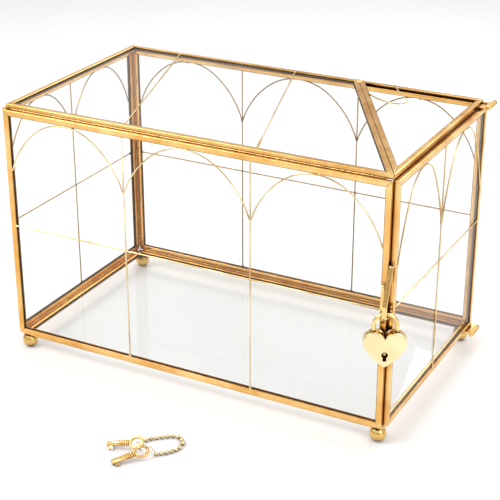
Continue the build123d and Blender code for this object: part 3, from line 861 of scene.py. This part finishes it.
def key(index, spot):
    """A barrel key: hollow barrel with turned collars, a notched bit and an oval ring for a bow."""
    centre, heading, tip_down, roll = spot
    turn = Matrix.Rotation(radians(heading), 3, "Z") @ Matrix.Rotation(radians(tip_down), 3, "Y") \
        @ Matrix.Rotation(radians(-roll), 3, "X")
    along, side, up = turn.col[0], turn.col[1], turn.col[2]
    middle = Vector(centre) * MM
    bm = bmesh.new()
    ring = []
    for step in range(48):
        angle = 2 * pi * step / 48
        ring.append(middle + along * BOW_LONG * cos(angle) + side * BOW_SHORT * sin(angle))
    tube(bm, ring, [BOW_WIRE] * len(ring), sides=12, closed=True)
    profile = [(distance * MM, radius * MM) for distance, radius in COLLARS + BARREL_TIP]
    turned(bm, middle + along * BARREL_START, along, profile)
    for near, far, reach in BIT_BLOCKS:
        corners = []
        tip = 1.8 + reach
        for level in (-BIT_HALF, BIT_HALF):
            for distance, out in ((near, BIT_ROOT), (far, BIT_ROOT), (far, tip), (near, tip)):
                corners.append(bm.verts.new(middle + (along * distance + side * out + up * level) * MM))
        bm.faces.new(corners[0:4])
        bm.faces.new(corners[4:8])
        for step in range(4):
            following = (step + 1) % 4
            bm.faces.new((corners[step], corners[following], corners[4 + following], corners[4 + step]))
    piece = piece_from(f"key_{index}_turned", bm, "keys", "key_brass")
    rounded(piece, 0.12 * MM)
    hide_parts(f"key_{index}")


def rounded(piece, width, segments=2):
    """Round a piece's sharp edges."""
    bevel = piece.modifiers.new("rounded", "BEVEL")
    bevel.width = width
    bevel.segments = segments
    bevel.limit_method = "ANGLE"
    bevel.angle_limit = radians(40)
    bevel.harden_normals = True


def smooth_curve(points, steps=8):
    """A smooth curve through given points."""
    made = []
    last = len(points) - 1
    for index in range(last):
        before = points[max(index - 1, 0)]
        start, end = points[index], points[index + 1]
        after = points[min(index + 2, last)]
        for step in range(steps):
            t = step / steps
            first = (end - before) * t
            second = (before * 2 - start * 5 + end * 4 - after) * t * t
            third = (start * 3 - before - end * 3 + after) * t * t * t
            made.append((start * 2 + first + second + third) * 0.5)
    made.append(points[-1])
    return made


def spaced(points, pitch):
    """Places along a curve, an even step apart and close to the pitch."""
    lengths = [0.0]
    for start, end in zip(points, points[1:]):
        lengths.append(lengths[-1] + (end - start).length)
    count = max(2, round(lengths[-1] / pitch))
    made = []
    segment = 0
    for index in range(count + 1):
        target = lengths[-1] * index / count
        while segment < len(points) - 2 and lengths[segment + 1] < target:
            segment += 1
        span = lengths[segment + 1] - lengths[segment]
        made.append(points[segment].lerp(points[segment + 1], (target - lengths[segment]) / span))
    return made


def bead(bm, centre, along):
    """A hollow bead with a small lip round each of its two holes."""
    profile = []
    for step in range(13):
        angle = pi * (step / 12) * 0.86 + pi * 0.07
        profile.append((BEAD_RADIUS * (1 - cos(angle)), BEAD_RADIUS * sin(angle)))
    profile = [(profile[0][0], 0)] + profile + [(profile[-1][0], 0)]
    turned(bm, centre - along * BEAD_RADIUS, along, profile, sides=18)


def bead_chain():
    """The looped bead chain, threaded through both bows, and its clasp."""
    first, last = (spaced(smooth_curve([Vector((x * MM, y * MM, BEAD_RADIUS)) for x, y in run]), BEAD_PITCH)
                   for run in (CHAIN_FIRST, CHAIN_LAST))
    thread = [first[0]] + [Vector(place) * MM for place in CHAIN_THREAD] + [last[-1]]
    clasp_start, clasp_end = (Vector((x * MM, y * MM, CLASP_RADIUS)) for x, y in CLASP)
    route = [clasp_start] + first[::-1] + smooth_curve(thread, 6)[1:-1] + last[::-1] + [clasp_end]
    bm = bmesh.new()
    tube(bm, route, [LINK_RADIUS] * len(route), sides=8)
    for run in (first, last):
        for index, place in enumerate(run):
            ahead = run[min(index + 1, len(run) - 1)]
            behind = run[max(index - 1, 0)]
            bead(bm, place, (ahead - behind).normalized())
    piece = piece_from("bead_chain_beads", bm, "keys", "chain_brass")
    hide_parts("bead_chain")
    bm = bmesh.new()
    way = clasp_end - clasp_start
    length = way.length
    shell = [(0, 0.5), (0.04, 0.75), (0.12, 0.95), (0.40, 0.95), (0.43, 0.78), (0.57, 0.78), (0.60, 0.95),
             (0.88, 0.95), (0.96, 0.75), (1.0, 0.5)]
    profile = [(0, 0)] + [(share * length, size * CLASP_RADIUS) for share, size in shell] + [(length, 0)]
    turned(bm, clasp_start, way, profile)
    piece = piece_from("chain_clasp_shell", bm, "keys", "chain_brass")
    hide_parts("chain_clasp")


def round_cad_edges():
    """Soften the sharp edges of the cames and fittings, so that they catch the light."""
    for name, node in NODES.items():
        if not name.startswith(("came_", "hinge_plate", "hinge_pin")) and not name.endswith("_staple"):
            continue
        weld = node.modifiers.new("weld", "WELD")
        weld.merge_threshold = 0.00001
        rounded(node, CAME_ROUNDING if name.startswith("came_") else FITTING_ROUNDING, segments=3)


# ---------------------------------------------------------------- build

make_camera()
make_floor()
make_world()
make_lights()
materials = make_materials()
dress_cad_nodes(materials)
round_cad_edges()

rng = random.Random(7)
faces = make_faces()
for face in faces:
    face_solder(face, rng)
    mitre_solder(face, rng)
groove_solder()
top_solder(rng)
tied_wires(faces)
hinge_coils()
staple_solder(rng)
door_rebates()
heart_plate("padlock_cover_front", 1, "padlock_front", keyhole=True)
heart_plate("padlock_cover_back", -1, "padlock_back", keyhole=False)
heart_core()
for number, spot in enumerate(KEY_SPOTS, start=1):
    key(number, spot)
bead_chain()
